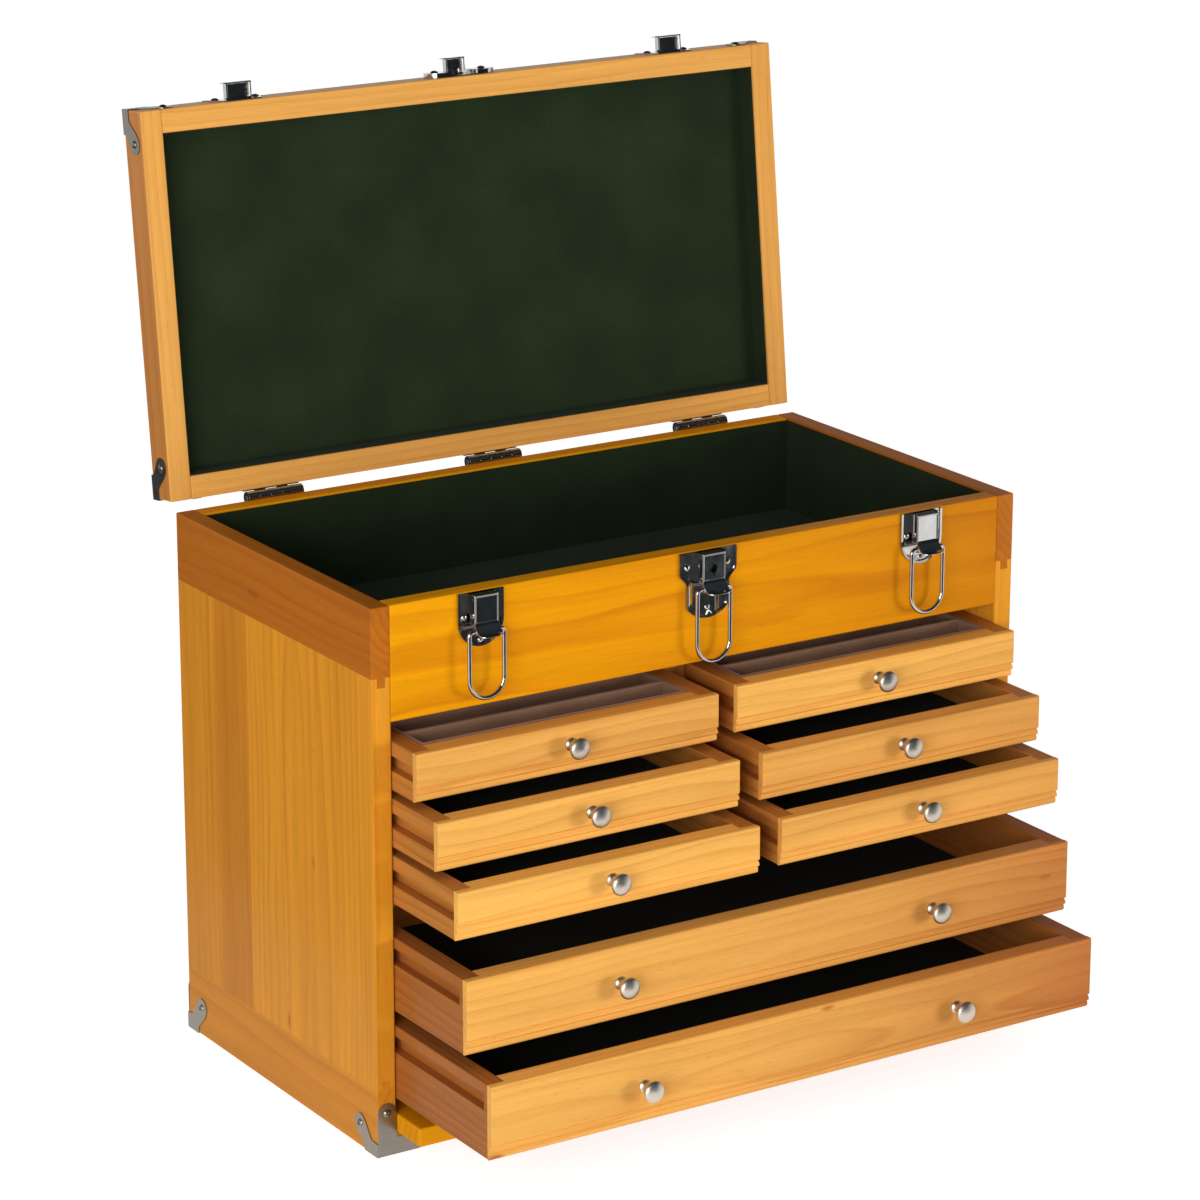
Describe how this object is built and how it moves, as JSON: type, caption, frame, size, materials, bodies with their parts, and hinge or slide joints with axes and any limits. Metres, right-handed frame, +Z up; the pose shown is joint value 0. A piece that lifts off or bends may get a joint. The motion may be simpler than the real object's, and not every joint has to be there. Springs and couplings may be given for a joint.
{
  "type": "machinist toolbox",
  "caption": "Wooden machinist toolbox with a felt-lined till under a hinged lid, small and wide drawers on runners, a stored front panel and draw latches.",
  "frame": {"origin": "middle of the flat underside of the case, between the outer faces of sides, front and back", "axes": "+X to the right seen from the front, front faces -Y, +Z up"},
  "size_m": [0.5144, 0.4619, 0.6539],
  "materials": {
    "case_wood": "satin varnish",
    "side_wood": "satin varnish",
    "board_wood": "satin varnish",
    "lid_wood": "satin varnish",
    "drawer_front_wood": "satin varnish",
    "drawer_side_wood": "satin varnish",
    "green_baize": "napped cloth",
    "dark_felt": "flocked",
    "taupe_flock": "flocked",
    "bright_nickel": "polished plate",
    "satin_nickel": "satin plate"
  },
  "bodies": {
    "case": {"side_left": "side_wood", "side_right": "side_wood", "till_front_board": "board_wood", "back_panel": "board_wood", "till_floor": "case_wood", "till_lining": "green_baize", "centre_divider": "case_wood", "dust_panels": "case_wood", "base_board": "case_wood", "drawer_runners": "case_wood", "case_corner_guards": "bright_nickel", "latch_plates": "bright_nickel", "hinge_case_leaves": "bright_nickel", "hinge_pins": "bright_nickel"},
    "lid": {"lid_frame": "lid_wood", "lid_panel": "lid_wood", "lid_lining": "green_baize", "lid_corner_guards": "bright_nickel", "lid_catches": "bright_nickel", "hinge_lid_leaves": "bright_nickel"},
    "drawer_left_top": {"drawer_left_top_front": "drawer_front_wood", "drawer_left_top_box": "drawer_side_wood", "drawer_left_top_liner": "taupe_flock", "drawer_left_top_knob": "satin_nickel"},
    "drawer_left_middle": {"drawer_left_middle_front": "drawer_front_wood", "drawer_left_middle_box": "drawer_side_wood", "drawer_left_middle_liner": "dark_felt", "drawer_left_middle_knob": "satin_nickel"},
    "drawer_left_bottom": {"drawer_left_bottom_front": "drawer_front_wood", "drawer_left_bottom_box": "drawer_side_wood", "drawer_left_bottom_liner": "dark_felt", "drawer_left_bottom_knob": "satin_nickel"},
    "drawer_right_top": {"drawer_right_top_front": "drawer_front_wood", "drawer_right_top_box": "drawer_side_wood", "drawer_right_top_liner": "taupe_flock", "drawer_right_top_knob": "satin_nickel"},
    "drawer_right_middle": {"drawer_right_middle_front": "drawer_front_wood", "drawer_right_middle_box": "drawer_side_wood", "drawer_right_middle_liner": "dark_felt", "drawer_right_middle_knob": "satin_nickel"},
    "drawer_right_bottom": {"drawer_right_bottom_front": "drawer_front_wood", "drawer_right_bottom_box": "drawer_side_wood", "drawer_right_bottom_liner": "dark_felt", "drawer_right_bottom_knob": "satin_nickel"},
    "drawer_wide_upper": {"drawer_wide_upper_front": "drawer_front_wood", "drawer_wide_upper_box": "drawer_side_wood", "drawer_wide_upper_liner": "dark_felt", "drawer_wide_upper_knob": "satin_nickel"},
    "drawer_wide_lower": {"drawer_wide_lower_front": "drawer_front_wood", "drawer_wide_lower_box": "drawer_side_wood", "drawer_wide_lower_liner": "dark_felt", "drawer_wide_lower_knob": "satin_nickel"},
    "latch_lever_left": {"latch_lever_left": "bright_nickel"},
    "latch_bail_left": {"latch_bail_left": "bright_nickel"},
    "latch_lever_right": {"latch_lever_right": "bright_nickel"},
    "latch_bail_right": {"latch_bail_right": "bright_nickel"},
    "lock_lever": {"lock_lever": "bright_nickel"},
    "lock_bail": {"lock_bail": "bright_nickel"},
    "lock_bolt": {"lock_bolt": "bright_nickel"},
    "front_panel": {"front_panel": "board_wood"}
  },
  "joints": [
    {"name": "lid_hinge", "type": "hinge", "parent": "case", "child": "lid", "pos_m": [0, 0.1379, 0.375], "axis": [-1, 0, 0], "range_deg": [-96.5, 0]},
    {"name": "drawer_left_top_slide", "type": "slide", "parent": "case", "child": "drawer_left_top", "axis": [0, -1, 0], "range_m": [-0.0685, 0.1065]},
    {"name": "drawer_left_middle_slide", "type": "slide", "parent": "case", "child": "drawer_left_middle", "axis": [0, -1, 0], "range_m": [-0.094, 0.081]},
    {"name": "drawer_left_bottom_slide", "type": "slide", "parent": "case", "child": "drawer_left_bottom", "axis": [0, -1, 0], "range_m": [-0.118, 0.057]},
    {"name": "drawer_right_top_slide", "type": "slide", "parent": "case", "child": "drawer_right_top", "axis": [0, -1, 0], "range_m": [-0.062, 0.113]},
    {"name": "drawer_right_middle_slide", "type": "slide", "parent": "case", "child": "drawer_right_middle", "axis": [0, -1, 0], "range_m": [-0.092, 0.083]},
    {"name": "drawer_right_bottom_slide", "type": "slide", "parent": "case", "child": "drawer_right_bottom", "axis": [0, -1, 0], "range_m": [-0.115, 0.06]},
    {"name": "drawer_wide_upper_slide", "type": "slide", "parent": "case", "child": "drawer_wide_upper", "axis": [0, -1, 0], "range_m": [-0.128, 0.047]},
    {"name": "drawer_wide_lower_slide", "type": "slide", "parent": "case", "child": "drawer_wide_lower", "axis": [0, -1, 0], "range_m": [-0.157, 0.018]},
    {"name": "latch_lever_left_hinge", "type": "hinge", "parent": "case", "child": "latch_lever_left", "pos_m": [-0.17493, -0.1381, 0.3711], "axis": [-1, 0, 0], "range_deg": [0, 95]},
    {"name": "latch_bail_left_swing", "type": "hinge", "parent": "latch_lever_left", "child": "latch_bail_left", "pos_m": [-0.17493, -0.1415, 0.3505], "axis": [1, 0, 0], "range_deg": [-180, 0]},
    {"name": "latch_lever_right_hinge", "type": "hinge", "parent": "case", "child": "latch_lever_right", "pos_m": [0.17493, -0.1381, 0.3711], "axis": [-1, 0, 0], "range_deg": [0, 95]},
    {"name": "latch_bail_right_swing", "type": "hinge", "parent": "latch_lever_right", "child": "latch_bail_right", "pos_m": [0.17493, -0.1415, 0.3505], "axis": [1, 0, 0], "range_deg": [-180, 0]},
    {"name": "lock_lever_hinge", "type": "hinge", "parent": "case", "child": "lock_lever", "pos_m": [0, -0.1381, 0.3711], "axis": [-1, 0, 0], "range_deg": [0, 95]},
    {"name": "lock_bail_swing", "type": "hinge", "parent": "lock_lever", "child": "lock_bail", "pos_m": [0, -0.1415, 0.3505], "axis": [1, 0, 0], "range_deg": [-180, 0]},
    {"name": "lock_bolt_slide", "type": "slide", "parent": "lock_lever", "child": "lock_bolt", "axis": [1, 0, 0], "range_m": [-0.003, 0]},
    {"name": "front_panel_slide", "type": "slide", "parent": "case", "child": "front_panel", "axis": [0, -1, 0], "range_m": [0, 0.22]}
  ]
}
